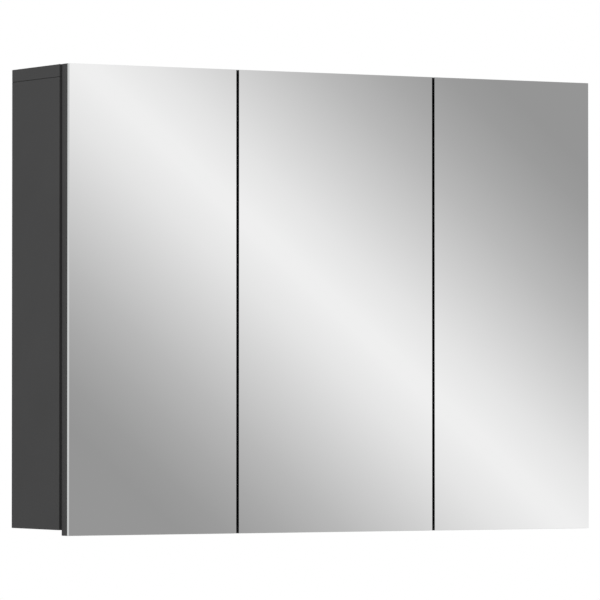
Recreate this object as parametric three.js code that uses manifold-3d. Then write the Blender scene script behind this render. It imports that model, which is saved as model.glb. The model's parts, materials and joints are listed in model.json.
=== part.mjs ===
// Wall-hung medicine cabinet: a boxed carcass with three compartments behind three mirrored doors.
// The doors hang on concealed cup hinges, the cabinet hangs on two hooks behind its back panel.
// Units are millimetres. +X runs along the wall, +Y points into the wall and +Z is up.
// The origin lies on the wall plane, in the middle of the top panel's rear edge.

import * as THREE from "three";
import { mergeVertices } from "three/addons/utils/BufferGeometryUtils.js";
import Module from "manifold-3d";

const wasm = await Module();
wasm.setup();

// ---------------------------------------------------------------- driving dimensions

const CABINET_WIDTH = 800;
const CARCASS_HEIGHT = 599;
const CARCASS_DEPTH = 135;
const BOARD = 16;

const DOOR_HEIGHT = 606;
const DOOR_BOARD = 15;
const MIRROR_THICKNESS = 5;
const DOOR_THICKNESS = DOOR_BOARD + MIRROR_THICKNESS;
const DOOR_TO_CARCASS = 3;
const DOOR_GAP = 3.5;
const DOOR_INSET = 2; // the outer doors stop this far inside the cabinet's sides
const SIDE_DOOR_PITCH = 250;
const MIRROR_INSET = 0.25;

const BACK_THICKNESS = 3;
const BACK_SETBACK = 20;
const GROOVE_DEPTH = 7.5;

const SHELF_DEPTH = 101;
const SHELF_HEIGHTS = { lower: 178, upper: 370 }; // from the bottom panel to the shelf's underside
const SHELF_SIDE_PLAY = 0.75;
const SHELF_TO_BACK = 1;

const FIT = 0.25; // gap between pieces that only rest on each other

// Wall hangers, in y and z.
const HOUSING_WIDTH = 22;
const HOUSING_HEIGHT = 60;
const HOUSING_FRONT = -19.5;
const HOUSING_REAR = -3;
const HOUSING_TO_TOP = 1;
const HOOK_SHEET = 2.5;
const HOOK_WIDTH = 14;
const HOOK_FRONT = -16;
const HOOK_REAR = -1.5;
const HOOK_TOP = -20;
const HOOK_STEM_BOTTOM = -58;
const HOOK_LIP_BOTTOM = -36;
const HOOK_LIP_TAPER = 2;

// Hinges are drawn in u, v: u runs from the door's hinge edge towards its free end,
// v runs from the door's rear face into the cabinet.
const HINGE_END_DISTANCE = 100; // from a door's end to its hinge
const CUP_RADIUS = 17.5;
const CUP_DEPTH = 13;
const CUP_WALL = 1;
const CUP_EDGE = 3; // wood between the cup and the door's hinge edge
const CUP_U = CUP_EDGE + CUP_RADIUS;
const CUP_SEGMENTS = 32;
const FLANGE_THICKNESS = 1.5;
const FLANGE_HALF_OUTLINE = [
  [5, 10],
  [9, 17],
  [22, 20],
  [23.5, 28],
  [36.5, 28],
  [39.5, 18],
]; // in u and z, from the hinge side to the free side

const LINK_PIVOT = [29, -3];
const LINK_FREE_END = [10.3, -8.8];
const LINK_BENDS = [[24.8, -12.9], [14.9, -11.4]]; // control points of the swan neck
const LINK_STEPS = 9;
const LINK_THICKNESS = 1.6;
const LINK_WIDTH = 9;
const LINK_EYE_RADIUS = 2.2;
const LINK_FREE_END_RADIUS = 1.9;
const PIN_RADIUS = 1.2;
const PIN_HOLE_RADIUS = 1.35;
const PIN_END = 0.5; // the pin stands this far out of each side of the arm

const SHEET = 1.5; // sheet steel of arms and hangers
const ARM_WIDTH = 15;
const ARM_RISE = 15; // from the panel face to the outside of the arm
const ARM_SEAT_GAP = 2.5; // from the panel face to the arm's lips
const ARM_REAR = 62;
const ARM_KNEE = 16;
const ARM_LIP_KNEE = ARM_KNEE + 2;
const ARM_NOSE_FRONT = -6;
const ARM_NOSE_REAR = 6;
const ARM_NOSE_U = LINK_PIVOT[0] + 4;
const ARM_WEB_FRONT = 1;
const ARM_BEND = 0.5; // the inside of the web's bends lies this much further into the cabinet
const ARM_SOLE = [[21.5, 7], [24, 0], [25.5, ARM_NOSE_FRONT]]; // side of the nose that faces the panel

const WING_THICKNESS = 2;
const WING_FROM = 28;
const WING_TO = 50;
const WING_HALF_HEIGHT = 26;
const RIB_FROM = 24;
const RIB_TO = 58;
const RIB_HALF_HEIGHT = 5.5;

const BUMPER_RADIUS = 3;
const BUMPER_HEIGHT = DOOR_TO_CARCASS - 2 * FIT;
const BUMPER_SEGMENTS = 16;
const BUMPER_END_DISTANCES = { upper: 48, lower: 53 }; // from the door's top and bottom end

const TOP = BOARD / 2;
const BOTTOM = TOP - CARCASS_HEIGHT;
const DOOR_BOTTOM = TOP - DOOR_HEIGHT;
const HALF_WIDTH = CABINET_WIDTH / 2;
const INNER_HALF_WIDTH = HALF_WIDTH - BOARD;
const INNER_TOP = TOP - BOARD;
const INNER_BOTTOM = BOTTOM + BOARD;
const FRONT_EDGE_Y = -CARCASS_DEPTH;
const DOOR_BACK_Y = FRONT_EDGE_Y - DOOR_TO_CARCASS;
const DOOR_FRONT_Y = DOOR_BACK_Y - DOOR_THICKNESS;
const BACK_FRONT_Y = -BACK_SETBACK - BACK_THICKNESS;
const PARTITION_X = HALF_WIDTH - SIDE_DOOR_PITCH;
const SIDES = { left: -1, right: 1 };

// ---------------------------------------------------------------- materials

const graphite = new THREE.MeshStandardMaterial({ color: 0x474748, roughness: 0.55, metalness: 0 });
const fibreboard = new THREE.MeshStandardMaterial({ color: 0x4b4a49, roughness: 0.7, metalness: 0 });
const silvered = new THREE.MeshStandardMaterial({ color: 0xe8eaea, roughness: 0.03, metalness: 1 });
const nickel = new THREE.MeshStandardMaterial({ color: 0xbfbdb8, roughness: 0.28, metalness: 1 });
const zinc = new THREE.MeshStandardMaterial({ color: 0xaeb2b6, roughness: 0.45, metalness: 1 });
const softPlastic = new THREE.MeshStandardMaterial({ color: 0xd9dde0, roughness: 0.3, metalness: 0 });

// ---------------------------------------------------------------- helpers

const cabinet = new THREE.Group();

function add(name, geometry, material, x = 0, y = 0, z = 0) {
  const mesh = new THREE.Mesh(geometry, material);
  mesh.name = name;
  mesh.position.set(x, y, z);
  cabinet.add(mesh);
}

function sorted(a, b) {
  return a < b ? [a, b] : [b, a];
}

function boxAt(low, high) {
  const size = low.map((value, i) => high[i] - value);
  const geometry = new THREE.BoxGeometry(...size);
  return geometry.translate(low[0] + size[0] / 2, low[1] + size[1] / 2, low[2] + size[2] / 2);
}

// A box given by its lowest and highest corners, around its own centre, less its grooves.
function addBoard(name, material, low, high, grooves = []) {
  const centre = low.map((value, i) => (value + high[i]) / 2);
  let geometry = new THREE.BoxGeometry(high[0] - low[0], high[1] - low[1], high[2] - low[2]);
  if (grooves.length > 0) {
    const toCentre = centre.map((value) => -value);
    geometry = subtract(geometry, grooves.map(([from, to]) => boxAt(from, to).translate(...toCentre)));
  }
  add(name, geometry, material, ...centre);
}

function toManifold(geometry) {
  const bare = geometry.clone();
  bare.deleteAttribute("normal");
  bare.deleteAttribute("uv");
  const merged = mergeVertices(bare, 1e-4);
  const vertProperties = new Float32Array(merged.attributes.position.array);
  const triVerts = new Uint32Array(merged.index.array);
  return new wasm.Manifold(new wasm.Mesh({ numProp: 3, vertProperties, triVerts }));
}

function toGeometry(manifold) {
  const mesh = manifold.getMesh();
  const geometry = new THREE.BufferGeometry();
  geometry.setAttribute("position", new THREE.BufferAttribute(mesh.vertProperties, 3));
  geometry.setIndex(new THREE.BufferAttribute(mesh.triVerts, 1));
  geometry.computeVertexNormals();
  return geometry;
}

function subtract(geometry, tools) {
  return toGeometry(tools.reduce((body, tool) => body.subtract(toManifold(tool)), toManifold(geometry)));
}

function union(geometries) {
  return toGeometry(geometries.map(toManifold).reduce((body, next) => body.add(next)));
}

function shapeOf(points) {
  return new THREE.Shape(points.map(([a, b]) => new THREE.Vector2(a, b)));
}

// A solid of revolution about Y from its radius and height points.
function turned(profile, segments) {
  return new THREE.LatheGeometry(profile.map(([r, h]) => new THREE.Vector2(r, h)), segments);
}

// An outline in X, Y with a thickness along Z, centred on z = 0.
function extrudeAlongZ(points, thickness) {
  const geometry = new THREE.ExtrudeGeometry(shapeOf(points), { depth: thickness, bevelEnabled: false });
  return geometry.translate(0, 0, -thickness / 2);
}

// An outline in X, Z with a thickness along Y, centred on y = 0.
function extrudeAlongY(points, thickness) {
  return extrudeAlongZ(points, thickness).rotateX(Math.PI / 2);
}

// An outline in Y, Z with a thickness along X, centred on x = 0.
function extrudeAlongX(points, thickness) {
  return extrudeAlongY(points, thickness).rotateZ(Math.PI / 2);
}

function pinAlongZ(radius, length, [x, y], segments = 12) {
  const pin = new THREE.CylinderGeometry(radius, radius, length, segments);
  return pin.rotateX(Math.PI / 2).translate(x, y, 0);
}

// ---------------------------------------------------------------- carcass

function addCarcass() {
  const grooveFront = BACK_FRONT_Y - FIT;
  const grooveRear = -BACK_SETBACK + FIT;
  const grooveX = INNER_HALF_WIDTH + GROOVE_DEPTH;

  // The top panel lies on the side panels, so its ends show at the cabinet's sides.
  addBoard(
    "top_panel",
    graphite,
    [-HALF_WIDTH, FRONT_EDGE_Y, INNER_TOP],
    [HALF_WIDTH, 0, TOP],
    [[[-grooveX, grooveFront, INNER_TOP - BOARD], [grooveX, grooveRear, INNER_TOP + GROOVE_DEPTH]]],
  );

  // The bottom panel fits between the side panels.
  const grooveBottom = INNER_BOTTOM - GROOVE_DEPTH;
  addBoard(
    "bottom_panel",
    graphite,
    [-INNER_HALF_WIDTH, FRONT_EDGE_Y, BOTTOM],
    [INNER_HALF_WIDTH, 0, INNER_BOTTOM],
    [[[-HALF_WIDTH, grooveFront, grooveBottom], [HALF_WIDTH, grooveRear, INNER_BOTTOM + BOARD]]],
  );

  for (const [side, sign] of Object.entries(SIDES)) {
    const [from, to] = sorted(sign * INNER_HALF_WIDTH, sign * HALF_WIDTH);
    const [grooveFrom, grooveTo] = sorted(sign * (INNER_HALF_WIDTH - BOARD), sign * grooveX);
    addBoard(
      `${side}_side_panel`,
      graphite,
      [from, FRONT_EDGE_Y, BOTTOM],
      [to, 0, INNER_TOP],
      [[[grooveFrom, grooveFront, BOTTOM - BOARD], [grooveTo, grooveRear, TOP]]],
    );
    const centre = sign * PARTITION_X;
    addBoard(
      `${side}_partition`,
      graphite,
      [centre - BOARD / 2, FRONT_EDGE_Y, INNER_BOTTOM],
      [centre + BOARD / 2, BACK_FRONT_Y - 2 * FIT, INNER_TOP],
    );
  }

  const edge = GROOVE_DEPTH - 2 * FIT;
  addBoard(
    "back_panel",
    fibreboard,
    [-INNER_HALF_WIDTH - edge, BACK_FRONT_Y, INNER_BOTTOM - edge],
    [INNER_HALF_WIDTH + edge, -BACK_SETBACK, INNER_TOP + edge],
  );
}

function addShelves() {
  const compartments = {
    left: [-INNER_HALF_WIDTH, -PARTITION_X - BOARD / 2],
    middle: [-PARTITION_X + BOARD / 2, PARTITION_X - BOARD / 2],
    right: [PARTITION_X + BOARD / 2, INNER_HALF_WIDTH],
  };
  const rear = BACK_FRONT_Y - SHELF_TO_BACK;
  for (const [place, [from, to]] of Object.entries(compartments)) {
    for (const [level, height] of Object.entries(SHELF_HEIGHTS)) {
      const z = INNER_BOTTOM + height;
      addBoard(
        `${place}_${level}_shelf`,
        graphite,
        [from + SHELF_SIDE_PLAY, rear - SHELF_DEPTH, z],
        [to - SHELF_SIDE_PLAY, rear, z + BOARD],
      );
    }
  }
}

// ---------------------------------------------------------------- wall hangers

// Each hanger is a sheet-steel channel behind the back panel that holds a hook open towards the wall rail.
function addWallHangers() {
  const outer = HOUSING_WIDTH / 2;
  const inner = outer - SHEET;
  const web = HOUSING_FRONT + SHEET;
  const channel = [
    [-outer, HOUSING_REAR],
    [-outer, HOUSING_FRONT],
    [outer, HOUSING_FRONT],
    [outer, HOUSING_REAR],
    [inner, HOUSING_REAR],
    [inner, web],
    [-inner, web],
    [-inner, HOUSING_REAR],
  ];
  const hook = [
    [HOOK_FRONT, HOOK_STEM_BOTTOM],
    [HOOK_FRONT + HOOK_SHEET, HOOK_STEM_BOTTOM],
    [HOOK_FRONT + HOOK_SHEET, HOOK_TOP - HOOK_SHEET],
    [HOOK_REAR - HOOK_SHEET, HOOK_TOP - HOOK_SHEET],
    [HOOK_REAR - HOOK_SHEET, HOOK_LIP_BOTTOM + HOOK_LIP_TAPER],
    [HOOK_REAR, HOOK_LIP_BOTTOM],
    [HOOK_REAR, HOOK_TOP],
    [HOOK_FRONT, HOOK_TOP],
  ];
  const housingZ = INNER_TOP - HOUSING_TO_TOP - HOUSING_HEIGHT / 2;
  for (const [side, sign] of Object.entries(SIDES)) {
    const x = sign * (INNER_HALF_WIDTH - outer - 2 * FIT);
    add(`${side}_wall_hanger_housing`, extrudeAlongZ(channel, HOUSING_HEIGHT), zinc, x, 0, housingZ);
    add(`${side}_wall_hanger_hook`, extrudeAlongX(hook, HOOK_WIDTH), zinc, x, 0, 0);
  }
}

// ---------------------------------------------------------------- hinges

// The arm is a channel over the mounting plate whose nose reaches into the cup.
// seat is the u of the panel face that carries the mounting plate.
function hingeArm(seat, dir) {
  const far = seat + ARM_RISE;
  const near = seat + ARM_SEAT_GAP;
  const cheek = [
    [ARM_NOSE_U, ARM_NOSE_FRONT],
    [ARM_NOSE_U, ARM_NOSE_REAR],
    [far, ARM_KNEE],
    [far, ARM_REAR],
    [near, ARM_REAR],
    [near, ARM_LIP_KNEE],
    ...ARM_SOLE,
  ];
  const web = [
    [ARM_NOSE_U, ARM_WEB_FRONT],
    [ARM_NOSE_U, ARM_NOSE_REAR],
    [far, ARM_KNEE],
    [far, ARM_REAR],
    [far - SHEET, ARM_REAR],
    [far - SHEET, ARM_KNEE + ARM_BEND],
    [ARM_NOSE_U - SHEET, ARM_NOSE_REAR + ARM_BEND],
    [ARM_NOSE_U - SHEET, ARM_WEB_FRONT],
  ];
  const flip = (points) => points.map(([u, v]) => [dir * u, v]);
  const cheekZ = (ARM_WIDTH - SHEET) / 2;
  const body = union([
    extrudeAlongZ(flip(cheek), SHEET).translate(0, 0, cheekZ),
    extrudeAlongZ(flip(cheek), SHEET).translate(0, 0, -cheekZ),
    extrudeAlongZ(flip(web), ARM_WIDTH),
  ]);
  const [pivotU, pivotV] = LINK_PIVOT;
  return subtract(body, [pinAlongZ(PIN_HOLE_RADIUS, ARM_WIDTH * 2, [dir * pivotU, pivotV])]);
}

// A winged plate screwed to the panel, with the rib that the arm straddles.
function mountingPlate(seat, dir) {
  const base = seat + FIT;
  const [wingLow, wingHigh] = sorted(dir * base, dir * (base + WING_THICKNESS));
  const [ribLow, ribHigh] = sorted(dir * base, dir * (seat + ARM_RISE - SHEET - FIT));
  return union([
    boxAt([wingLow, WING_FROM, -WING_HALF_HEIGHT], [wingHigh, WING_TO, WING_HALF_HEIGHT]),
    boxAt([ribLow, RIB_FROM, -RIB_HALF_HEIGHT], [ribHigh, RIB_TO, RIB_HALF_HEIGHT]),
  ]);
}

// The link is a swan-neck strip of steel: its eye turns on the arm's pin and its free end moves in the cup.
function hingeLink(dir) {
  const points = [LINK_PIVOT, ...LINK_BENDS, LINK_FREE_END].map(([u, v]) => new THREE.Vector2(dir * u, v));
  const curve = new THREE.CubicBezierCurve(...points);
  const oneSide = [];
  const otherSide = [];
  for (let i = 0; i <= LINK_STEPS; i += 1) {
    const point = curve.getPoint(i / LINK_STEPS);
    const tangent = curve.getTangent(i / LINK_STEPS);
    const across = new THREE.Vector2(-tangent.y, tangent.x).multiplyScalar(LINK_THICKNESS / 2);
    oneSide.push([point.x + across.x, point.y + across.y]);
    otherSide.unshift([point.x - across.x, point.y - across.y]);
  }
  const pivot = [dir * LINK_PIVOT[0], LINK_PIVOT[1]];
  const freeEnd = [dir * LINK_FREE_END[0], LINK_FREE_END[1]];
  return union([
    extrudeAlongZ([...oneSide, ...otherSide], LINK_WIDTH),
    pinAlongZ(LINK_EYE_RADIUS, LINK_WIDTH, pivot),
    pinAlongZ(PIN_RADIUS, ARM_WIDTH + 2 * PIN_END, pivot),
    pinAlongZ(LINK_FREE_END_RADIUS, LINK_WIDTH, freeEnd),
  ]);
}

// A pressed cup with a screw flange that is left open towards the door's hinge edge.
function hingeCup(dir) {
  const rim = FIT;
  const bore = CUP_RADIUS - CUP_WALL;
  const profile = [
    [0, -CUP_DEPTH],
    [CUP_RADIUS, -CUP_DEPTH],
    [CUP_RADIUS, rim],
    [bore, rim],
    [bore, -CUP_DEPTH + CUP_WALL],
    [0, -CUP_DEPTH + CUP_WALL],
  ];
  const cup = turned(profile, CUP_SEGMENTS);
  const otherHalf = FLANGE_HALF_OUTLINE.map(([u, z]) => [u, -z]).reverse();
  const outline = [...FLANGE_HALF_OUTLINE, ...otherHalf].map(([u, z]) => [dir * (u - CUP_U), z]);
  const sunk = 0.01; // the flange bites this far into the rim, so that the two join
  const flange = extrudeAlongY(outline, FLANGE_THICKNESS).translate(0, rim + FLANGE_THICKNESS / 2 - sunk, 0);
  const opening = new THREE.CylinderGeometry(bore, bore, CUP_DEPTH, CUP_SEGMENTS);
  return union([cup, subtract(flange, [opening])]).translate(dir * CUP_U, 0, 0);
}

// ---------------------------------------------------------------- doors

// A soft dome on the free end keeps the door off the carcass edge.
function bumperDome() {
  const profile = [
    [0, 0],
    [BUMPER_RADIUS, 0],
    [BUMPER_RADIUS, BUMPER_HEIGHT * 0.4],
    [BUMPER_RADIUS * 0.7, BUMPER_HEIGHT * 0.85],
    [0, BUMPER_HEIGHT],
  ];
  return turned(profile, BUMPER_SEGMENTS);
}

// hingeX is the x of the door's hinge edge and dir points from there to the free end.
function addDoor(place, hingeX, dir, width, seat) {
  const [from, to] = sorted(hingeX, hingeX + dir * width);
  const hingeHeights = { upper: TOP - HINGE_END_DISTANCE, lower: DOOR_BOTTOM + HINGE_END_DISTANCE };
  const boardFront = DOOR_BACK_Y - DOOR_BOARD;
  const centre = [(from + to) / 2, (boardFront + DOOR_BACK_Y) / 2, (DOOR_BOTTOM + TOP) / 2];
  const boreRadius = CUP_RADIUS + FIT;
  const boreDepth = CUP_DEPTH + FIT;
  const bores = Object.values(hingeHeights).map((z) => {
    const bore = new THREE.CylinderGeometry(boreRadius, boreRadius, 2 * boreDepth, CUP_SEGMENTS);
    return bore.translate(hingeX + dir * CUP_U - centre[0], DOOR_BOARD / 2, z - centre[2]);
  });
  const blank = new THREE.BoxGeometry(width, DOOR_BOARD, DOOR_HEIGHT);
  add(`${place}_door_board`, subtract(blank, bores), graphite, ...centre);
  addBoard(
    `${place}_door_mirror`,
    silvered,
    [from + MIRROR_INSET, DOOR_FRONT_Y, DOOR_BOTTOM + MIRROR_INSET],
    [to - MIRROR_INSET, boardFront, TOP - MIRROR_INSET],
  );

  for (const [level, z] of Object.entries(hingeHeights)) {
    const hinge = `${place}_${level}_hinge`;
    add(`${hinge}_plate`, mountingPlate(seat, dir), nickel, hingeX, DOOR_BACK_Y, z);
    add(`${hinge}_arm`, hingeArm(seat, dir), nickel, hingeX, DOOR_BACK_Y, z);
    add(`${hinge}_link`, hingeLink(dir), nickel, hingeX, DOOR_BACK_Y, z);
    add(`${hinge}_cup`, hingeCup(dir), nickel, hingeX, DOOR_BACK_Y, z);
  }

  const bumperX = hingeX + dir * (width - BUMPER_RADIUS - FIT);
  const bumperHeights = {
    upper: TOP - BUMPER_END_DISTANCES.upper,
    lower: DOOR_BOTTOM + BUMPER_END_DISTANCES.lower,
  };
  for (const [level, z] of Object.entries(bumperHeights)) {
    add(`${place}_${level}_bumper`, bumperDome(), softPlastic, bumperX, DOOR_BACK_Y + FIT, z);
  }
}

function addDoors() {
  const outerX = HALF_WIDTH - DOOR_INSET;
  const innerX = PARTITION_X + DOOR_GAP / 2;
  const meetingX = PARTITION_X - DOOR_GAP / 2;
  const outerSeat = BOARD - DOOR_INSET;
  const partitionSeat = (BOARD - DOOR_GAP) / 2;
  addDoor("left", -outerX, 1, outerX - innerX, outerSeat);
  addDoor("middle", -meetingX, 1, 2 * meetingX, partitionSeat);
  addDoor("right", outerX, -1, outerX - innerX, outerSeat);
}

addCarcass();
addShelves();
addWallHangers();
addDoors();

export default cabinet;
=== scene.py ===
"""Looks of a wall-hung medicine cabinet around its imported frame: metres, +Z up, mirrored front at -Y."""

import json
import math

import bmesh
import bpy
from mathutils import Matrix, Vector


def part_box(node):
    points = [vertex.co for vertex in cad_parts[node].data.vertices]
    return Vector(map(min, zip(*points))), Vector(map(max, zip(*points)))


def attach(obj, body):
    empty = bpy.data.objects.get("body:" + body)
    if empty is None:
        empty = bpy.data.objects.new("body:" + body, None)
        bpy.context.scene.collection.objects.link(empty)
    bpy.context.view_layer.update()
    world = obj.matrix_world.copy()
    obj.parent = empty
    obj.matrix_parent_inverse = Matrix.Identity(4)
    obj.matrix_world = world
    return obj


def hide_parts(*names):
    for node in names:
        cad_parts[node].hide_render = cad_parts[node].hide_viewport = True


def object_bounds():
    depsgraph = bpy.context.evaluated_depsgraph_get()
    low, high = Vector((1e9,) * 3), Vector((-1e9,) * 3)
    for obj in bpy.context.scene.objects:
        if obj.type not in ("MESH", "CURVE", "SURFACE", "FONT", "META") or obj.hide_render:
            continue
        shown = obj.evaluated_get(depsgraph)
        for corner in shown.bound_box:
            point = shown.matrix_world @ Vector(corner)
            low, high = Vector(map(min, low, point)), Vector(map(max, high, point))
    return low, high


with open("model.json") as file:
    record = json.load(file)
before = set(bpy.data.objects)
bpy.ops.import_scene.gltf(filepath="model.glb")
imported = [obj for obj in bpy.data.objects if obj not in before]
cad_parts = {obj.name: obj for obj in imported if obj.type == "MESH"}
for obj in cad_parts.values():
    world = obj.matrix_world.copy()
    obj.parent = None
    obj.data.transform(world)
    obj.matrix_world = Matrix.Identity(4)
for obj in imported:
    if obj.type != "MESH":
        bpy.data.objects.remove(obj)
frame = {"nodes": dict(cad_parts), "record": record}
cad_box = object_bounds()

MM = 0.001
PLACES = ("left", "middle", "right")
LEVELS = ("upper", "lower")
SIDES = ("left", "right")
X = Vector((1, 0, 0))
Y = Vector((0, 1, 0))
Z = Vector((0, 0, 1))

# Camera, fitted to the photograph's view
EYE = Vector((-3.339, -5.823, -0.428))
HEADING = math.radians(30.0935)  # from +Y towards +X
TILT = math.radians(1.187)  # upwards
LENS = 298.8  # millimetres, as is the sensor's width
SENSOR = 36.0
FAR_CLIP = 200.0

# Soft slanting light bands that the mirrors show
BAND_SLOPE = 1.05  # how fast a band moves sideways as it rises
BAND_SHIFT = 0.0062  # sideways
BAND_HALF_PERIOD = 0.1
# Place, from 0 in the middle of a bright band to 1 in the middle of the next dark one, and its
# tone in the mirror
BAND_TONES = (
    (0.02, 0.8615),
    (0.14, 0.779),
    (0.30, 0.628),
    (0.46, 0.483),
    (0.58, 0.396),
    (0.70, 0.328),
    (0.79, 0.301),
)
MIRROR_TINT = 0.936  # share of the light that the silver sends back
REAR_TONE = 0.75  # even light from behind the cabinet's wall
REAR_FADE = (-0.3, 0.5)  # Y of the directions between which the bands give way to it

SOFTBOX_PLACE = Vector((-1.7, -1.3, 1.3))
SOFTBOX_SIZE = 1.2
SOFTBOX_POWER = 45.0

FLOOR_DROP = 1.05  # below the cabinet's lowest edge
FLOOR_RADIUS = 22.0
FLOOR_FADE_FROM = 9.0

NOISE_RANGE = (0.3, 0.7)  # where nearly all of a noise texture's values lie

# Boards, back panel and mirrors
FIT = 0.25 * MM  # play around what sits in a groove or a bore
OVERCUT = 1 * MM  # how far a drill starts outside the surface
EDGE_RADIUS = 0.4 * MM
DOOR_EDGE_RADIUS = 0.5 * MM
BACK_CHAMFER = 0.2 * MM
MIRROR_CHAMFER = 0.1 * MM
FACING = 0.9  # cosine of the widest angle at which a face still looks along a direction
JOINT_LINE = 0.6 * MM  # height of the fine rebate that marks the joint under the top panel
JOINT_LINE_DEPTH = 1.5 * MM

# System holes and shelf pins
HOLE_RADIUS = 2.5 * MM
HOLE_DEPTH = 11 * MM
HOLE_PITCH = 32 * MM
HOLES_EACH_WAY = 2  # above and below a shelf's own pins
FRONT_ROW = 37 * MM  # behind the carcass's front edge
REAR_ROW = 26 * MM  # in front of the back panel
PIN_RADIUS = 2.4 * MM
PIN_DEPTH = 9 * MM
PIN_REACH = 8 * MM
PIN_CHAMFER = 0.5 * MM
COLLAR_RADIUS = 3.6 * MM
COLLAR_WIDTH = 0.9 * MM
COLLAR_SLOPE = 0.3 * MM

# Cover caps
CAP_RADIUS = 8.5 * MM
CAP_REACH = 34 * MM  # from a board's end to its joint fitting
CAP_FRONT_INSET = 24 * MM
CAP_REAR_INSET = 16 * MM
HANGER_CAP_RADIUS = 6 * MM
HANGER_CAP_LIFT = 12 * MM  # above and below the middle of the hanger

# Hinges. A value without MM is in millimetres in the hinge's own u, v and w: u from the
# door's hinge edge, v from the door's rear face, w up from the hinge's middle.
CUP_U = 20.5
CUP_RADIUS = 17.5
CUP_DEPTH = 13.0
CUP_PIN = (9.6, -9.1)  # u, v
CUP_PIN_RADIUS = 1.1
SPRING_PIN = (14.6, -7.2)  # u, v
SPRING_PIN_RADIUS = 0.9
CUP_PIN_REACH = 7.2  # each way from the hinge's middle
CHEEK_INSIDE = 5.6  # from the hinge's middle to a cheek's inner face
CHEEK_THICKNESS = 1.0
CHEEK_FOOT = 1.1 - CUP_DEPTH
CHEEK_OUTLINE = (  # u, v
    (6.4, CHEEK_FOOT),
    (17.4, CHEEK_FOOT),
    (17.4, -8.4),
    (15.4, -5.6),
    (9.0, -6.9),
    (6.4, -9.0),
)
LINK_PIVOT = (29.0, -3.0)  # u, v
PIVOT_HEAD_RADIUS = 2.3 * MM
PIVOT_HEAD_HEIGHT = 0.9 * MM
PIVOT_HEAD_PLAY = 0.1
ARM_HALF_WIDTH = 7.5
ARM_LIP_TO_WEB = 12.5  # along u, from the arm's side at the panel to the face of its web
WING_THICKNESS = 2.0  # of the mounting plate's wings
PLATE_SCREW_RADIUS = 3.6 * MM
PLATE_SCREW_V = 39
PLATE_SCREWS_W = (-16, 16)
ARM_SCREW_RADIUS = 3.2 * MM
ARM_SCREWS_V = (32, 51)
FLANGE_SCREW_RADIUS = 3.4 * MM
FLANGE_SCREW_U = 30
FLANGE_SCREWS_W = (-22.5, 22.5)

# Wall hangers
HANGER_STEM_THICKNESS = 2.5 * MM
HANGER_SCREW_RADIUS = 3.2 * MM
HANGER_SCREW_LIFTS = (6 * MM, 18 * MM)  # above the hook's lower end

# Softening of the metal parts' edges
SOFTENED_EDGES = {"plate": 0.2 * MM, "arm": 0.2 * MM, "link": 0.1 * MM, "cup": 0.2 * MM}
HANGER_SOFTENED_EDGE = 0.3 * MM
WELD = 0.001 * MM  # points this close are one point
SLIVER = 0.02 * MM  # shorter edges are closed up before the edges are softened
FLAT_BELOW = 1  # degrees between two faces that count as one flat face
SHARP_ABOVE = 35  # degrees between two faces with a sharp edge between them


# ---------------------------------------------------------------- shader nodes


def new_material(name):
    """A material with its node tree and its Principled shader."""
    material = bpy.data.materials.new(name)
    material.use_nodes = True
    tree = material.node_tree
    return material, tree, tree.nodes["Principled BSDF"]


def object_noise(tree, scale, detail=2.0, stretch=(1.0, 1.0, 1.0)):
    """Noise in the object's own space, with its scale in cycles per metre."""
    place = tree.nodes.new("ShaderNodeTexCoord")
    mapping = tree.nodes.new("ShaderNodeMapping")
    mapping.inputs["Scale"].default_value = stretch
    noise = tree.nodes.new("ShaderNodeTexNoise")
    noise.inputs["Scale"].default_value = scale
    noise.inputs["Detail"].default_value = detail
    tree.links.new(place.outputs["Object"], mapping.inputs["Vector"])
    tree.links.new(mapping.outputs["Vector"], noise.inputs["Vector"])
    return noise.outputs["Fac"]


def ramp(tree, factor, stops):
    """A colour ramp through (position, colour) stops, driven by a factor output."""
    node = tree.nodes.new("ShaderNodeValToRGB")
    elements = node.color_ramp.elements
    while len(elements) < len(stops):
        elements.new(0.5)
    for element, (position, colour) in zip(elements, stops):
        element.position = position
        element.color = (*colour, 1.0)
    tree.links.new(factor, node.inputs["Fac"])
    return node.outputs["Color"]


def tinted(tree, factor, colour, spread):
    """The colour, a little darker and lighter where the factor is low and high."""
    low = tuple(c * (1 - spread) for c in colour)
    high = tuple(c * (1 + spread) for c in colour)
    return ramp(tree, factor, tuple(zip(NOISE_RANGE, (low, high))))


def map_range(tree, factor, to_low, to_high, from_low=0.0, from_high=1.0):
    """The factor, brought from one range to another and held inside it."""
    node = tree.nodes.new("ShaderNodeMapRange")
    node.inputs["From Min"].default_value = from_low
    node.inputs["From Max"].default_value = from_high
    node.inputs["To Min"].default_value = to_low
    node.inputs["To Max"].default_value = to_high
    tree.links.new(factor, node.inputs["Value"])
    return node.outputs["Result"]


def math_node(tree, operation, first, second):
    """A maths node; the second value is a number or another node's output."""
    node = tree.nodes.new("ShaderNodeMath")
    node.operation = operation
    tree.links.new(first, node.inputs[0])
    if isinstance(second, float):
        node.inputs[1].default_value = second
    else:
        tree.links.new(second, node.inputs[1])
    return node.outputs["Value"]


def mixed(tree, factor, first, colour):
    """The first output's colour, giving way to a fixed colour as the factor rises."""
    node = tree.nodes.new("ShaderNodeMix")
    node.data_type = "RGBA"
    used = {socket.name: socket for socket in node.inputs if socket.enabled}
    tree.links.new(factor, used["Factor"])
    tree.links.new(first, used["A"])
    used["B"].default_value = (*colour, 1.0)
    return next(socket for socket in node.outputs if socket.enabled)


def add_bump(tree, shader, height, distance, strength):
    """Relief from a height output, with its depth in metres."""
    bump = tree.nodes.new("ShaderNodeBump")
    bump.inputs["Strength"].default_value = strength
    bump.inputs["Distance"].default_value = distance
    tree.links.new(height, bump.inputs["Height"])
    tree.links.new(bump.outputs["Normal"], shader.inputs["Normal"])


# ---------------------------------------------------------------- materials


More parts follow.
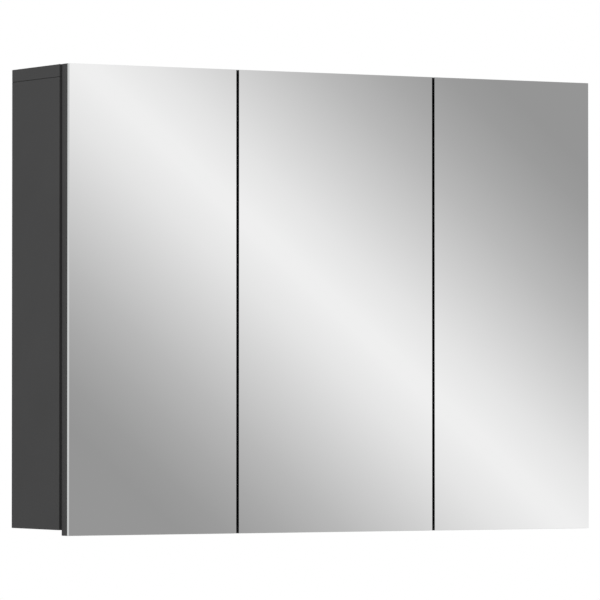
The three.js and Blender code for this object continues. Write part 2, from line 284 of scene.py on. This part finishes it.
def melamine(name, tone, roughness):
    """Matt graphite melamine: a fine pressed grain with faint cloudy tone changes."""
    material, tree, shader = new_material(name)
    clouds = object_noise(tree, scale=9.0, detail=3.0)
    colour = tinted(tree, clouds, (tone, tone, tone * 1.01), spread=0.05)
    tree.links.new(colour, shader.inputs["Base Color"])
    grain = object_noise(tree, scale=1400.0, detail=3.0)
    tree.links.new(map_range(tree, grain, roughness - 0.06, roughness + 0.08), shader.inputs["Roughness"])
    shader.inputs["Specular IOR Level"].default_value = 0.2
    add_bump(tree, shader, grain, distance=0.04 * MM, strength=0.5)
    return material


def silver_mirror():
    """Silver behind clear glass, with a hardly visible change of tone."""
    material, tree, shader = new_material("mirror_silver")
    haze = object_noise(tree, scale=5.0)
    tree.links.new(tinted(tree, haze, (MIRROR_TINT,) * 3, spread=0.004), shader.inputs["Base Color"])
    shader.inputs["Metallic"].default_value = 1.0
    shader.inputs["Roughness"].default_value = 0.0
    return material


def polished_edge():
    """The mirror's polished rim: the silver shines through the glass, under fine polishing marks."""
    material, tree, shader = new_material("mirror_polished_edge")
    marks = object_noise(tree, scale=2400.0)
    tree.links.new(tinted(tree, marks, (0.765, 0.785, 0.78), spread=0.02), shader.inputs["Base Color"])
    shader.inputs["Metallic"].default_value = 1.0
    tree.links.new(map_range(tree, marks, 0.04, 0.07), shader.inputs["Roughness"])
    return material


def backing_paint():
    """The grey paint that seals the back of the mirror."""
    material, tree, shader = new_material("mirror_backing_paint")
    speck = object_noise(tree, scale=300.0)
    tree.links.new(tinted(tree, speck, (0.12, 0.12, 0.115), spread=0.1), shader.inputs["Base Color"])
    shader.inputs["Roughness"].default_value = 0.6
    return material


def plated(name, colour, roughness, stretch=(1.0, 1.0, 1.0)):
    """Plated steel with slightly uneven lustre and fine rolling marks."""
    material, tree, shader = new_material(name)
    cloud = object_noise(tree, scale=60.0, detail=3.0)
    tree.links.new(tinted(tree, cloud, colour, spread=0.04), shader.inputs["Base Color"])
    marks = object_noise(tree, scale=2600.0, stretch=stretch)
    tree.links.new(map_range(tree, marks, roughness - 0.05, roughness + 0.05), shader.inputs["Roughness"])
    shader.inputs["Metallic"].default_value = 0.85
    add_bump(tree, shader, marks, distance=0.004 * MM, strength=0.2)
    return material


def moulded(name, colour, roughness, transmission=0.0):
    """Moulded plastic with a faintly pebbled skin."""
    material, tree, shader = new_material(name)
    skin = object_noise(tree, scale=1200.0)
    tree.links.new(tinted(tree, skin, colour, spread=0.04), shader.inputs["Base Color"])
    shader.inputs["Roughness"].default_value = roughness
    shader.inputs["Transmission Weight"].default_value = transmission
    add_bump(tree, shader, skin, distance=0.02 * MM, strength=0.3)
    return material


def raw_fibreboard():
    """The back panel's unlacquered side: pressed brown fibres with cloudy patches."""
    material, tree, shader = new_material("raw_fibreboard")
    patches = object_noise(tree, scale=22.0, detail=4.0, stretch=(1.0, 1.0, 0.6))
    fibres = object_noise(tree, scale=520.0, detail=6.0, stretch=(1.0, 1.0, 0.35))
    soft = math_node(tree, "MULTIPLY", patches, 0.45)
    fine = math_node(tree, "MULTIPLY", fibres, 0.55)
    blend = math_node(tree, "ADD", soft, fine)
    tree.links.new(tinted(tree, blend, (0.185, 0.118, 0.066), spread=0.42), shader.inputs["Base Color"])
    shader.inputs["Roughness"].default_value = 0.75
    shader.inputs["Specular IOR Level"].default_value = 0.25
    add_bump(tree, shader, fibres, distance=0.12 * MM, strength=0.7)
    return material


def raw_chipboard():
    """The boards' unbanded rear edges: pale pressed wood chips of differing tones."""
    material, tree, shader = new_material("raw_chipboard")
    place = tree.nodes.new("ShaderNodeTexCoord")
    chips = tree.nodes.new("ShaderNodeTexVoronoi")
    chips.inputs["Scale"].default_value = 620.0
    tree.links.new(place.outputs["Object"], chips.inputs["Vector"])
    chip_tone = tree.nodes.new("ShaderNodeSeparateColor")
    tree.links.new(chips.outputs["Color"], chip_tone.inputs["Color"])
    dust = object_noise(tree, scale=1500.0, detail=3.0)
    blend = math_node(tree, "ADD", math_node(tree, "MULTIPLY", chip_tone.outputs["Red"], 0.7), dust)
    stops = ((0.35, (0.17, 0.105, 0.055)), (0.75, (0.34, 0.235, 0.14)), (1.0, (0.42, 0.31, 0.2)))
    tree.links.new(ramp(tree, math_node(tree, "DIVIDE", blend, 1.2), stops), shader.inputs["Base Color"])
    shader.inputs["Roughness"].default_value = 0.85
    shader.inputs["Specular IOR Level"].default_value = 0.2
    add_bump(tree, shader, blend, distance=0.15 * MM, strength=0.8)
    return material


FACE = melamine("graphite_melamine", tone=0.0243, roughness=0.5)
EDGE_BAND = melamine("graphite_edge_band", tone=0.022, roughness=0.46)
SILVER = silver_mirror()
GLASS_EDGE = polished_edge()
BACKING = backing_paint()
NICKEL = plated("nickel_plate", (0.74, 0.73, 0.70), roughness=0.32)
ZINC = plated("zinc_plate", (0.62, 0.64, 0.66), roughness=0.38, stretch=(1.0, 1.0, 0.1))
CLEAR = moulded("clear_soft_plastic", (0.82, 0.84, 0.85), roughness=0.25, transmission=0.6)
CAP = moulded("graphite_plastic", (0.055, 0.055, 0.056), roughness=0.45)
RAW = raw_fibreboard()
CHIPS = raw_chipboard()


# ---------------------------------------------------------------- mesh tools


def toward(direction):
    """The rotation that turns +Z to the direction."""
    return Z.rotation_difference(direction).to_matrix().to_4x4()


def add_box(bm, low, high):
    """A box between two corners; gives back its points."""
    place = Matrix.Translation((low + high) / 2) @ Matrix.Diagonal((*(high - low), 1.0))
    return bmesh.ops.create_cube(bm, size=1.0, matrix=place)["verts"]


def add_rounded_box(bm, low, high, radius, segments):
    """A box whose edges are rounded, or chamfered where there is one segment."""
    corners = set(add_box(bm, low, high))
    edges = [edge for edge in bm.edges if set(edge.verts) <= corners]
    bmesh.ops.bevel(bm, geom=edges, offset=radius, segments=segments, profile=0.5, affect="EDGES")


def add_cylinder(bm, start, end, radius, segments):
    """A round bar between two points."""
    axis = end - start
    place = Matrix.Translation((start + end) / 2) @ toward(axis)
    bmesh.ops.create_cone(
        bm,
        cap_ends=True,
        segments=segments,
        radius1=radius,
        radius2=radius,
        depth=axis.length,
        matrix=place,
    )


def add_lathe(bm, profile, centre, direction, segments=24):
    """Turns (radius, height) points about the direction. The profile starts and ends on the axis."""
    place = Matrix.Translation(centre) @ toward(direction)
    rings = []
    for radius, height in profile:
        steps = segments if radius > 0 else 1
        angles = [2 * math.pi * i / steps for i in range(steps)]
        points = [place @ Vector((radius * math.cos(a), radius * math.sin(a), height)) for a in angles]
        rings.append([bm.verts.new(point) for point in points])
    for lower, upper in zip(rings, rings[1:]):
        for i in range(segments):
            j = (i + 1) % segments
            below = (lower[i % len(lower)], lower[j % len(lower)])
            above = (upper[j % len(upper)], upper[i % len(upper)])
            bm.faces.new(list(dict.fromkeys(below + above)))


def add_prism(bm, points, offset):
    """A flat outline of points, given thickness by an offset."""
    near = [bm.verts.new(point) for point in points]
    far = [bm.verts.new(point + offset) for point in points]
    bm.faces.new(near)
    bm.faces.new(far[::-1])
    for i in range(len(points)):
        j = (i + 1) % len(points)
        bm.faces.new((near[i], near[j], far[j], far[i]))


def dome(radius, height, steps=5):
    """A profile for add_lathe: flat below, an upright rim and a bulging top."""
    rim = height * 0.35
    points = [(0.0, 0.0), (radius, 0.0), (radius, rim)]
    for i in range(1, steps):
        angle = math.pi / 2 * i / steps
        points.append((radius * math.cos(angle), rim + (height - rim) * math.sin(angle)))
    return points + [(0.0, height)]


def shade(mesh, smooth_below):
    """Smooth shading, with creases kept sharp where faces meet at more than the angle."""
    mesh.shade_smooth()
    mesh.set_sharp_from_angle(angle=math.radians(smooth_below))


def make_piece(name, bm, materials, body, replaces=None, smooth_below=None):
    """Turns a bmesh into a piece that rides on a body, in place of a CAD node if one is named."""
    bmesh.ops.recalc_face_normals(bm, faces=bm.faces[:])
    mesh = bpy.data.meshes.new(name)
    bm.to_mesh(mesh)
    bm.free()
    for material in materials:
        mesh.materials.append(material)
    if smooth_below:
        shade(mesh, smooth_below)
    piece = bpy.data.objects.new(name, mesh)
    bpy.context.scene.collection.objects.link(piece)
    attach(piece, body)
    if replaces:
        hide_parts(replaces)
    return piece


def cut(piece, cutter):
    """Takes the cutter's closed solids out of the piece's mesh."""
    bmesh.ops.recalc_face_normals(cutter, faces=cutter.faces[:])
    mesh = bpy.data.meshes.new("cutter")
    cutter.to_mesh(mesh)
    cutter.free()
    tool = bpy.data.objects.new("cutter", mesh)
    bpy.context.scene.collection.objects.link(tool)
    modifier = piece.modifiers.new("cut", "BOOLEAN")
    modifier.operation = "DIFFERENCE"
    modifier.solver = "EXACT"
    modifier.object = tool
    graph = bpy.context.evaluated_depsgraph_get()
    piece.data = bpy.data.meshes.new_from_object(piece.evaluated_get(graph))
    piece.modifiers.clear()
    bpy.data.objects.remove(tool)


# ---------------------------------------------------------------- carcass


def faces_along(normal, direction):
    """Whether a face looks along the direction, or nearly so."""
    return normal.dot(direction) > FACING


def make_board(node, body, thickness, cutter=None, radius=EDGE_RADIUS):
    """A melamine board with banded edges, in place of its CAD node. Thickness is its thin way."""
    bm = bmesh.new()
    add_rounded_box(bm, *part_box(node), radius, segments=3)
    bm.normal_update()
    for face in bm.faces:
        if faces_along(face.normal, thickness) or faces_along(face.normal, -thickness):
            face.material_index = 0
        elif faces_along(face.normal, Y) and thickness != Y:
            face.material_index = 2
        else:
            face.material_index = 1
    piece = make_piece(f"{node}_melamine", bm, (FACE, EDGE_BAND, CHIPS), body, node)
    if cutter:
        cut(piece, cutter)


def cut_back_groove(cutter):
    """The groove that holds the back panel's edge."""
    low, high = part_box("back_panel")
    play = Vector((2 * FIT, FIT, 2 * FIT))
    add_box(cutter, low - play, high + play)


def cut_joint_line(cutter, node):
    """A fine rebate along a side panel's outer upper edge, which stops short of the rear."""
    low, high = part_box(node)
    outer = low.x if low.x < 0 else high.x
    near = Vector((outer - JOINT_LINE_DEPTH, low.y - JOINT_LINE_DEPTH, high.z - JOINT_LINE))
    far = Vector((outer + JOINT_LINE_DEPTH, high.y - JOINT_LINE_DEPTH, high.z + JOINT_LINE))
    add_box(cutter, near, far)


def shelf_undersides(place):
    """The z of the upper and lower shelf's underside."""
    return [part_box(f"{place}_{level}_shelf")[0].z for level in LEVELS]


def hole_rows():
    """The y of the front and rear row of system holes."""
    return {"front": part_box("bottom_panel")[0].y + FRONT_ROW, "rear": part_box("back_panel")[0].y - REAR_ROW}


def drill_system_holes(cutter, face_x, inward, place):
    """Rows of holes around each shelf in a panel face; inward, 1 or -1, is the way along X into it."""
    for underside in shelf_undersides(place):
        for step in range(-HOLES_EACH_WAY, HOLES_EACH_WAY + 1):
            z = underside - HOLE_RADIUS + step * HOLE_PITCH
            for y in hole_rows().values():
                mouth = Vector((face_x, y, z))
                into = X * inward
                start, end = mouth - into * OVERCUT, mouth + into * HOLE_DEPTH
                add_cylinder(cutter, start, end, HOLE_RADIUS, segments=16)


def panel_faces():
    """The upright panels' faces inside the cabinet: {node: [(x, way into the panel, place)]}."""
    left_side, right_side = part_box("left_side_panel"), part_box("right_side_panel")
    left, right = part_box("left_partition"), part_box("right_partition")
    return {
        "left_side_panel": [(left_side[1].x, -1, "left")],
        "right_side_panel": [(right_side[0].x, 1, "right")],
        "left_partition": [(left[0].x, 1, "left"), (left[1].x, -1, "middle")],
        "right_partition": [(right[1].x, -1, "right"), (right[0].x, 1, "middle")],
    }


def build_carcass():
    """The outer boards, the partitions and the shelves."""
    for node in ("top_panel", "bottom_panel"):
        groove = bmesh.new()
        cut_back_groove(groove)
        make_board(node, "root", Z, groove)
    for node, faces in panel_faces().items():
        cutter = bmesh.new()
        if "side" in node:
            cut_back_groove(cutter)
            cut_joint_line(cutter, node)
        for face_x, inward, place in faces:
            drill_system_holes(cutter, face_x, inward, place)
        make_board(node, "root", X, cutter)
    for place in PLACES:
        for level in LEVELS:
            make_board(f"{place}_{level}_shelf", "root", Z)


def build_back():
    """The thin fibreboard back, graphite inside and raw behind."""
    bm = bmesh.new()
    add_rounded_box(bm, *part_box("back_panel"), BACK_CHAMFER, segments=1)
    bm.normal_update()
    for face in bm.faces:
        behind = face.normal.y > 0.5  # the rear face and the chamfers around it
        face.material_index = 1 if behind else 0
    make_piece("back_board", bm, (FACE, RAW), "root", "back_panel")


def build_shelf_pins():
    """Four collared pins under each shelf."""
    profile = (
        (0.0, -PIN_DEPTH),
        (PIN_RADIUS - PIN_CHAMFER, -PIN_DEPTH),
        (PIN_RADIUS, PIN_CHAMFER - PIN_DEPTH),
        (PIN_RADIUS, 0.0),
        (COLLAR_RADIUS, 0.0),
        (COLLAR_RADIUS, COLLAR_WIDTH),
        (PIN_RADIUS, COLLAR_WIDTH + COLLAR_SLOPE),
        (PIN_RADIUS, PIN_REACH - PIN_CHAMFER),
        (PIN_RADIUS - PIN_CHAMFER, PIN_REACH),
        (0.0, PIN_REACH),
    )
    for faces in panel_faces().values():
        for face_x, inward, place in faces:
            side = "left" if inward < 0 else "right"
            for level, underside in zip(LEVELS, shelf_undersides(place)):
                for row, y in hole_rows().items():
                    bm = bmesh.new()
                    add_lathe(bm, profile, Vector((face_x, y, underside - PIN_RADIUS)), X * -inward)
                    name = f"{place}_{level}_shelf_pin_{side}_{row}"
                    make_piece(name, bm, (NICKEL,), "root", smooth_below=35)


def make_cap(name, radius, centre, direction):
    """A plastic cover cap: a rounded rim around a slightly sunk middle."""
    rim_height, shoulder_height, crown_height, middle_height = 0.5 * MM, 1.1 * MM, 1.3 * MM, 1.05 * MM
    shoulder, crown, middle = radius - 0.6 * MM, radius * 0.72, radius * 0.66
    profile = (
        (0.0, 0.0),
        (radius, 0.0),
        (radius, rim_height),
        (shoulder, shoulder_height),
        (crown, crown_height),
        (middle, middle_height),
        (0.0, middle_height),
    )
    bm = bmesh.new()
    add_lathe(bm, profile, centre, direction, segments=32)
    make_piece(name, bm, (CAP,), "root", smooth_below=30)


def build_cover_caps():
    """Caps over the cam fittings that join the boards, and over each wall hanger's two screws."""
    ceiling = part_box("top_panel")[0].z
    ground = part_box("bottom_panel")[1].z
    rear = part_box("back_panel")[0].y
    rows = {"front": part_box("bottom_panel")[0].y + CAP_FRONT_INSET, "rear": rear - CAP_REAR_INSET}
    for node, faces in panel_faces().items():
        face_x, inward, place = faces[0]
        heights = {"top": ceiling - CAP_REACH}
        if "partition" in node:
            heights["bottom"] = ground + CAP_REACH
        for row, y in rows.items():
            for end, z in heights.items():
                make_cap(f"{node}_cap_{end}_{row}", CAP_RADIUS, Vector((face_x, y, z)), X * -inward)
            if "side" in node:
                centre = Vector((face_x - inward * CAP_REACH, y, ground))
                make_cap(f"bottom_panel_cap_{place}_{row}", CAP_RADIUS, centre, Z)
    for side in SIDES:
        low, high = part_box(f"{side}_wall_hanger_housing")
        middle = (low + high) / 2
        # The screws behind the caps set the hanger's height and depth.
        for name, lift in (("height", HANGER_CAP_LIFT), ("depth", -HANGER_CAP_LIFT)):
            centre = Vector((middle.x, rear, middle.z + lift))
            make_cap(f"{side}_hanger_cap_{name}", HANGER_CAP_RADIUS, centre, -Y)


# ---------------------------------------------------------------- metal


def cross_recess(reach, half_width, base, top):
    """A closed cutter with the outline of a cross, from a base height up to a top height."""
    corners = (
        Vector((reach, half_width, base)),
        Vector((half_width, half_width, base)),
        Vector((half_width, reach, base)),
    )
    turns = [Matrix.Rotation(math.pi / 2 * quarter, 4, "Z") for quarter in range(4)]
    cutter = bmesh.new()
    add_prism(cutter, [turn @ corner for turn in turns for corner in corners], Z * (top - base))
    return cutter


def make_screws(name, places, direction, radius, body, material):
    """Pan-head screws with cross recesses. Their heads lie on the places and face the direction."""
    height, shank, tip, length = radius * 0.5, radius * 0.45, radius * 0.135, radius * 2.5
    profile = [(0.0, -length), (tip, -length), (shank, shank - length), (shank, 0.0)]
    profile += dome(radius, height)[1:]
    bm = bmesh.new()
    add_lathe(bm, profile, Vector(), Z)
    piece = make_piece(name, bm, (material,), body)
    reach, half_width = radius * 0.55, radius * 0.12
    cut(piece, cross_recess(reach, half_width, base=height * 0.2, top=height * 2))
    screws = bmesh.new()
    for centre in places:
        screw = piece.data.copy()
        screw.transform(Matrix.Translation(centre) @ toward(direction))
        screws.from_mesh(screw)
    screws.to_mesh(piece.data)
    screws.free()
    shade(piece.data, SHARP_ABOVE)


def finish_metal(node, body, material, softening):
    """The node's own shape with softened edges and smooth curves, in place of its CAD node."""
    bm = bmesh.new()
    bm.from_mesh(frame["nodes"][node].data)
    bmesh.ops.remove_doubles(bm, verts=bm.verts[:], dist=WELD)
    bmesh.ops.dissolve_degenerate(bm, edges=bm.edges[:], dist=SLIVER)
    flat = math.radians(FLAT_BELOW)
    bmesh.ops.dissolve_limit(bm, angle_limit=flat, verts=bm.verts[:], edges=bm.edges[:])
    sharp = [edge for edge in bm.edges if edge.calc_face_angle(0.0) > math.radians(SHARP_ABOVE)]
    bmesh.ops.bevel(bm, geom=sharp, offset=softening, segments=2, profile=0.5, affect="EDGES")
    make_piece(f"{node}_metal", bm, (material,), body, node, smooth_below=SHARP_ABOVE)


# ---------------------------------------------------------------- hinges


class HingePlace:
    """Turns a hinge's own u, v and w, in millimetres, into the frame's metres."""

    def __init__(self, place, level):
        self.name = f"{place}_{level}_hinge"
        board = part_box(f"{place}_door_board")
        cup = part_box(f"{self.name}_cup")
        joint = next(j for j in frame["record"]["behaviour"]["joints"] if j["child"] == f"{place}_door")
        self.sign = -joint["axis"][2]  # 1 where u runs towards +X, -1 where it runs towards -X
        self.edge = board[0].x if self.sign > 0 else board[1].x
        self.rear = board[1].y
        self.middle = (cup[0].z + cup[1].z) / 2

    def at(self, u, v, w=0.0):
        """The point at u, v and w."""
        return Vector((self.edge + self.sign * u * MM, self.rear + v * MM, self.middle + w * MM))

    def panel_side_u(self, part):
        """The u of the part's side that faces the panel."""
        low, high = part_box(f"{self.name}_{part}")
        side = low.x if self.sign > 0 else high.x
        return (side - self.edge) * self.sign / MM


def build_hinge_screws(spot, door):
    """Two screws each in the mounting plate, in the arm and in the cup's flange."""
    from_panel = X * spot.sign
    wing_u = spot.panel_side_u("plate") + WING_THICKNESS
    web_u = spot.panel_side_u("arm") + ARM_LIP_TO_WEB
    flange_v = (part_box(f"{spot.name}_cup")[1].y - spot.rear) / MM
    on_plate = [spot.at(wing_u, PLATE_SCREW_V, w) for w in PLATE_SCREWS_W]
    on_arm = [spot.at(web_u, v) for v in ARM_SCREWS_V]
    on_flange = [spot.at(FLANGE_SCREW_U, flange_v, w) for w in FLANGE_SCREWS_W]
    for part, places, direction, radius, body in (
        ("plate", on_plate, from_panel, PLATE_SCREW_RADIUS, "root"),
        ("arm", on_arm, from_panel, ARM_SCREW_RADIUS, "root"),
        ("flange", on_flange, Y, FLANGE_SCREW_RADIUS, door),
    ):
        make_screws(f"{spot.name}_{part}_screws", places, direction, radius, body, NICKEL)


def build_hinge_pins(spot, door, links):
    """The heads of the arm's pin, and two cheeks on the cup's floor that carry the pins inside it."""
    bm = bmesh.new()
    for end in (-1, 1):
        head = spot.at(*LINK_PIVOT, end * (ARM_HALF_WIDTH + PIVOT_HEAD_PLAY))
        add_lathe(bm, dome(PIVOT_HEAD_RADIUS, PIVOT_HEAD_HEIGHT), head, Z * end)
    make_piece(f"{spot.name}_pin_heads", bm, (NICKEL,), links, smooth_below=50)

    bm = bmesh.new()
    for w in (-CHEEK_INSIDE - CHEEK_THICKNESS, CHEEK_INSIDE):
        add_prism(bm, [spot.at(u, v, w) for u, v in CHEEK_OUTLINE], Z * CHEEK_THICKNESS * MM)
    for pin, radius in ((CUP_PIN, CUP_PIN_RADIUS), (SPRING_PIN, SPRING_PIN_RADIUS)):
        start, end = spot.at(*pin, -CUP_PIN_REACH), spot.at(*pin, CUP_PIN_REACH)
        add_cylinder(bm, start, end, radius * MM, segments=20)
    make_piece(f"{spot.name}_cup_pins", bm, (NICKEL,), door, smooth_below=30)


def build_hinge(place, level):
    """A hinge's four metal parts, its screws and its pins."""
    spot = HingePlace(place, level)
    door, links = f"{place}_door", f"{place}_hinge_links"
    bodies = {"plate": "root", "arm": "root", "link": links, "cup": door}
    for part, softening in SOFTENED_EDGES.items():
        finish_metal(f"{spot.name}_{part}", bodies[part], NICKEL, softening)
    build_hinge_screws(spot, door)
    build_hinge_pins(spot, door, links)


# ---------------------------------------------------------------- doors


def build_door_board(place):
    """The door's board, bored for its two hinge cups."""
    cutter = bmesh.new()
    for level in LEVELS:
        spot = HingePlace(place, level)
        bore_floor = spot.at(CUP_U, -CUP_DEPTH) - Y * FIT
        bore_mouth = spot.at(CUP_U, 0.0) + Y * OVERCUT
        add_cylinder(cutter, bore_floor, bore_mouth, CUP_RADIUS * MM + FIT, segments=48)
    make_board(f"{place}_door_board", f"{place}_door", Y, cutter, DOOR_EDGE_RADIUS)


def build_mirror(place):
    """A mirror: silver in front, a polished rim, and paint behind."""
    node = f"{place}_door_mirror"
    bm = bmesh.new()
    add_rounded_box(bm, *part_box(node), MIRROR_CHAMFER, segments=1)
    bm.normal_update()
    for face in bm.faces:
        if faces_along(face.normal, -Y):
            face.material_index = 0
        elif faces_along(face.normal, Y):
            face.material_index = 2
        else:
            face.material_index = 1
    make_piece(f"{place}_mirror_glass", bm, (SILVER, GLASS_EDGE, BACKING), f"{place}_door", node)


def build_bumpers(place):
    """A clear dome in each of the door's free corners."""
    for level in LEVELS:
        node = f"{place}_{level}_bumper"
        low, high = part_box(node)
        centre = Vector(((low.x + high.x) / 2, low.y, (low.z + high.z) / 2))
        bm = bmesh.new()
        add_lathe(bm, dome((high.x - low.x) / 2, high.y - low.y), centre, Y, segments=32)
        make_piece(f"{node}_dome", bm, (CLEAR,), f"{place}_door", node, smooth_below=50)


# ---------------------------------------------------------------- wall hangers


def build_hanger(side):
    """A wall hanger's housing, hook and two screws."""
    hook = f"{side}_wall_hanger_hook"
    for node in (f"{side}_wall_hanger_housing", hook):
        finish_metal(node, "root", ZINC, HANGER_SOFTENED_EDGE)
    low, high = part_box(hook)
    stem_rear = low.y + HANGER_STEM_THICKNESS
    places = [Vector(((low.x + high.x) / 2, stem_rear, low.z + lift)) for lift in HANGER_SCREW_LIFTS]
    name = f"{side}_wall_hanger_screws"
    make_screws(name, places, Y, HANGER_SCREW_RADIUS, "root", ZINC)


# ---------------------------------------------------------------- stage, light and camera


def build_camera():
    """The camera at the photograph's angle."""
    camera = bpy.data.objects.new("camera", bpy.data.cameras.new("camera"))
    bpy.context.scene.collection.objects.link(camera)
    camera.location = EYE
    level = Vector((math.sin(HEADING), math.cos(HEADING), 0.0))
    forward = level * math.cos(TILT) + Z * math.sin(TILT)
    camera.rotation_euler = forward.to_track_quat("-Z", "Y").to_euler()
    camera.data.lens = LENS
    camera.data.sensor_width = SENSOR
    camera.data.clip_end = FAR_CLIP
    bpy.context.scene.camera = camera


def build_floor():
    """A pale floor whose rim fades out. It doesn't show from below or in the mirrors."""
    bm = bmesh.new()
    bmesh.ops.create_circle(bm, cap_ends=True, segments=96, radius=FLOOR_RADIUS)
    bm.transform(Matrix.Translation(Z * (cad_box[0].z - FLOOR_DROP)))
    material, tree, shader = new_material("pale_floor")
    shader.inputs["Roughness"].default_value = 0.7
    mottle = object_noise(tree, scale=3.0, detail=4.0)
    tree.links.new(tinted(tree, mottle, (0.82, 0.82, 0.82), spread=0.02), shader.inputs["Base Color"])
    place = tree.nodes.new("ShaderNodeTexCoord")
    length = tree.nodes.new("ShaderNodeVectorMath")
    length.operation = "LENGTH"
    tree.links.new(place.outputs["Object"], length.inputs[0])
    rim = map_range(tree, length.outputs["Value"], 0.0, 1.0, FLOOR_FADE_FROM, FLOOR_RADIUS)
    geometry = tree.nodes.new("ShaderNodeNewGeometry")
    path = tree.nodes.new("ShaderNodeLightPath")
    unseen = math_node(tree, "MAXIMUM", geometry.outputs["Backfacing"], path.outputs["Is Glossy Ray"])
    clear = tree.nodes.new("ShaderNodeBsdfTransparent")
    mix = tree.nodes.new("ShaderNodeMixShader")
    tree.links.new(math_node(tree, "MAXIMUM", rim, unseen), mix.inputs["Fac"])
    tree.links.new(shader.outputs["BSDF"], mix.inputs[1])
    tree.links.new(clear.outputs["BSDF"], mix.inputs[2])
    tree.links.new(mix.outputs["Shader"], tree.nodes["Material Output"].inputs["Surface"])
    mesh = bpy.data.meshes.new("floor")
    bm.to_mesh(mesh)
    bm.free()
    mesh.materials.append(material)
    floor = bpy.data.objects.new("floor", mesh)
    bpy.context.scene.collection.objects.link(floor)


def studio_light(tree):
    """What glossy surfaces see: soft slanting bands in front, giving way to an even tone behind."""
    across = Vector((math.cos(HEADING), math.sin(HEADING), 0.0))
    lift = Vector((-math.sin(HEADING), math.cos(HEADING), 0.0)) * math.sin(TILT) + Z * math.cos(TILT)
    place = tree.nodes.new("ShaderNodeTexCoord")
    dot = tree.nodes.new("ShaderNodeVectorMath")
    dot.operation = "DOT_PRODUCT"
    dot.inputs[1].default_value = across + lift * BAND_SLOPE
    tree.links.new(place.outputs["Generated"], dot.inputs[0])
    shifted = math_node(tree, "SUBTRACT", dot.outputs["Value"], BAND_SHIFT)
    wave = math_node(tree, "PINGPONG", shifted, BAND_HALF_PERIOD)
    stops = [(at, (tone / MIRROR_TINT,) * 3) for at, tone in BAND_TONES]
    bands = ramp(tree, math_node(tree, "DIVIDE", wave, BAND_HALF_PERIOD), stops)
    split = tree.nodes.new("ShaderNodeSeparateXYZ")
    tree.links.new(place.outputs["Generated"], split.inputs["Vector"])
    towards_rear = map_range(tree, split.outputs["Y"], 0.0, 1.0, *REAR_FADE)
    return mixed(tree, towards_rear, bands, (REAR_TONE,) * 3)


def build_world():
    """A white studio, in which only glossy rays see the studio light's bands."""
    world = bpy.data.worlds.new("studio")
    bpy.context.scene.world = world
    bpy.context.scene.view_settings.view_transform = "Standard"
    world.use_nodes = True
    tree = world.node_tree
    studio = tree.nodes["Background"]
    tree.links.new(studio_light(tree), studio.inputs["Color"])
    white = tree.nodes.new("ShaderNodeBackground")
    white.inputs["Color"].default_value = (1.0, 1.0, 1.0, 1.0)
    path = tree.nodes.new("ShaderNodeLightPath")
    mix = tree.nodes.new("ShaderNodeMixShader")
    tree.links.new(path.outputs["Is Glossy Ray"], mix.inputs["Fac"])
    tree.links.new(white.outputs["Background"], mix.inputs[1])
    tree.links.new(studio.outputs["Background"], mix.inputs[2])
    tree.links.new(mix.outputs["Shader"], tree.nodes["World Output"].inputs["Surface"])


def build_softbox():
    """A softbox above the cabinet's left front, aimed at its middle."""
    light = bpy.data.lights.new("softbox", "AREA")
    light.shape = "SQUARE"
    light.size = SOFTBOX_SIZE
    light.energy = SOFTBOX_POWER
    lamp = bpy.data.objects.new("softbox", light)
    bpy.context.scene.collection.objects.link(lamp)
    lamp.location = SOFTBOX_PLACE
    aim = Z * cad_box[0].z / 2 - lamp.location
    lamp.rotation_euler = aim.to_track_quat("-Z", "Y").to_euler()


build_camera()
build_world()
build_softbox()
build_floor()
build_carcass()
build_back()
build_shelf_pins()
build_cover_caps()
for door_place in PLACES:
    build_door_board(door_place)
    build_mirror(door_place)
    build_bumpers(door_place)
    for hinge_level in LEVELS:
        build_hinge(door_place, hinge_level)
for hanger_side in SIDES:
    build_hanger(hanger_side)
